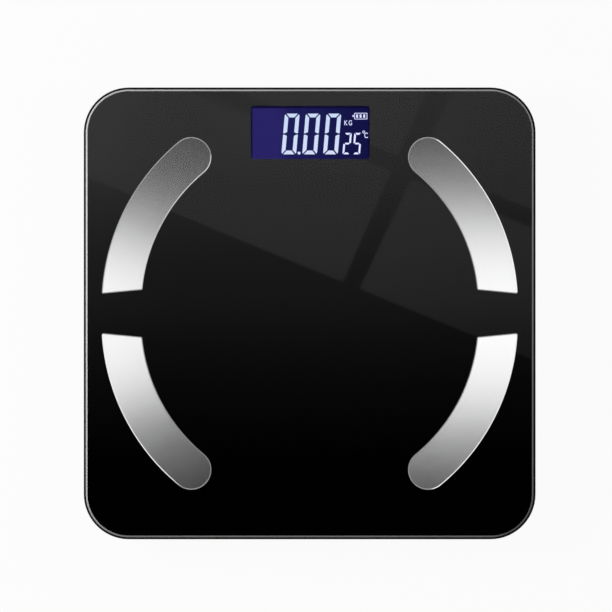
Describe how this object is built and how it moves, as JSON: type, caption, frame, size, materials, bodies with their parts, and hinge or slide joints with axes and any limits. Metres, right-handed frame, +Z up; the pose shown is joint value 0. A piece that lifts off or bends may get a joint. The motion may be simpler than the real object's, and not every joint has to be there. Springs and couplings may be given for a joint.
{
  "type": "digital bathroom scale",
  "caption": "Square glass body-composition scale with rounded corners, arc-shaped steel electrodes, a lit display behind the glass and sprung load-cell feet.",
  "frame": {"origin": "on the floor, under the middle of the platform", "axes": "+Z up, +Y towards the rear edge with the display, +X to the user's right"},
  "size_m": [0.28, 0.28, 0.025],
  "materials": {
    "tempered_glass": "polished, ground bevel",
    "black_film": "black print film",
    "foam_tape": "closed-cell foam",
    "electrode_steel": "satin",
    "tray_abs": "fine moulded texture",
    "door_abs": "fine moulded texture",
    "button_abs": "satin",
    "foot_abs": "satin",
    "pad_rubber": "matt, grooved",
    "display_glass": "polarised",
    "gasket_foam": "foam",
    "light_guide": "diffusing",
    "white_abs": "moulded",
    "contact_rubber": "layered",
    "board_laminate": "solder mask",
    "epoxy": "potted",
    "component_metal": "drawn can",
    "screw_steel": "zinc plated",
    "cell_steel": "stamped, plated",
    "gauge_resin": "silicone potting",
    "battery_jacket": "printed sleeve",
    "contact_plate": "nickel plated",
    "cell_cable": "grey sheath",
    "electrode_wire": "black insulation",
    "battery_wire": "red insulation"
  },
  "bodies": {
    "housing": {"backing_film": "black_film", "backlight_panel": "light_guide", "base_tray": "tray_abs", "battery_contact_bridge": "contact_plate", "battery_contact_minus": "contact_plate", "battery_contact_plus": "contact_plate", "battery_front": "battery_jacket", "battery_leads": "battery_wire", "battery_rear": "battery_jacket", "battery_springs": "contact_plate", "board_components": "component_metal", "board_screws": "screw_steel", "cell_retainer_front_left": "white_abs", "cell_retainer_front_right": "white_abs", "cell_retainer_rear_left": "white_abs", "cell_retainer_rear_right": "white_abs", "controller_chip": "epoxy", "electrode_front_left": "electrode_steel", "electrode_front_right": "electrode_steel", "electrode_leads": "electrode_wire", "electrode_nuts": "screw_steel", "electrode_rear_left": "electrode_steel", "electrode_rear_right": "electrode_steel", "electrode_terminals": "contact_plate", "gauge_bead_front_left": "gauge_resin", "gauge_bead_front_right": "gauge_resin", "gauge_bead_rear_left": "gauge_resin", "gauge_bead_rear_right": "gauge_resin", "glass_platform": "tempered_glass", "glass_tape": "foam_tape", "lcd_contact_strip": "contact_rubber", "lcd_frame": "white_abs", "lcd_gasket": "gasket_foam", "lcd_panel": "display_glass", "load_cell_front_left": "cell_steel", "load_cell_front_right": "cell_steel", "load_cell_leads": "cell_cable", "load_cell_rear_left": "cell_steel", "load_cell_rear_right": "cell_steel", "main_board": "board_laminate", "retainer_screws": "screw_steel", "switch_body": "epoxy", "wire_header": "white_abs"},
    "unit_button": {"unit_button": "button_abs", "switch_plunger": "white_abs"},
    "battery_door": {"battery_door": "door_abs", "door_latch": "door_abs"},
    "foot_front_left": {"foot_cup_front_left": "foot_abs", "foot_pad_front_left": "pad_rubber", "foot_screw_front_left": "screw_steel"},
    "foot_front_right": {"foot_cup_front_right": "foot_abs", "foot_pad_front_right": "pad_rubber", "foot_screw_front_right": "screw_steel"},
    "foot_rear_left": {"foot_cup_rear_left": "foot_abs", "foot_pad_rear_left": "pad_rubber", "foot_screw_rear_left": "screw_steel"},
    "foot_rear_right": {"foot_cup_rear_right": "foot_abs", "foot_pad_rear_right": "pad_rubber", "foot_screw_rear_right": "screw_steel"}
  },
  "joints": [
    {"name": "foot_press_front_left", "type": "slide", "parent": "housing", "child": "foot_front_left", "axis": [0, 0, 1], "range_m": [0, 0.0006], "stiffness_N_per_m": 2000, "springref_m": -0.0025, "deforming": ["load_cell_front_left"]},
    {"name": "foot_press_front_right", "type": "slide", "parent": "housing", "child": "foot_front_right", "axis": [0, 0, 1], "range_m": [0, 0.0006], "stiffness_N_per_m": 2000, "springref_m": -0.0025, "deforming": ["load_cell_front_right"]},
    {"name": "foot_press_rear_left", "type": "slide", "parent": "housing", "child": "foot_rear_left", "axis": [0, 0, 1], "range_m": [0, 0.0006], "stiffness_N_per_m": 2000, "springref_m": -0.0025, "deforming": ["load_cell_rear_left"]},
    {"name": "foot_press_rear_right", "type": "slide", "parent": "housing", "child": "foot_rear_right", "axis": [0, 0, 1], "range_m": [0, 0.0006], "stiffness_N_per_m": 2000, "springref_m": -0.0025, "deforming": ["load_cell_rear_right"]},
    {"name": "unit_button_press", "type": "slide", "parent": "housing", "child": "unit_button", "axis": [0, 0, 1], "range_m": [0, 0.0005], "stiffness_N_per_m": 3000},
    {"name": "battery_door_hinge", "type": "hinge", "parent": "housing", "child": "battery_door", "pos_m": [0, 0.0259, 0.0058], "axis": [-1, 0, 0], "range_deg": [0, 100], "deforming": ["door_latch"]}
  ]
}
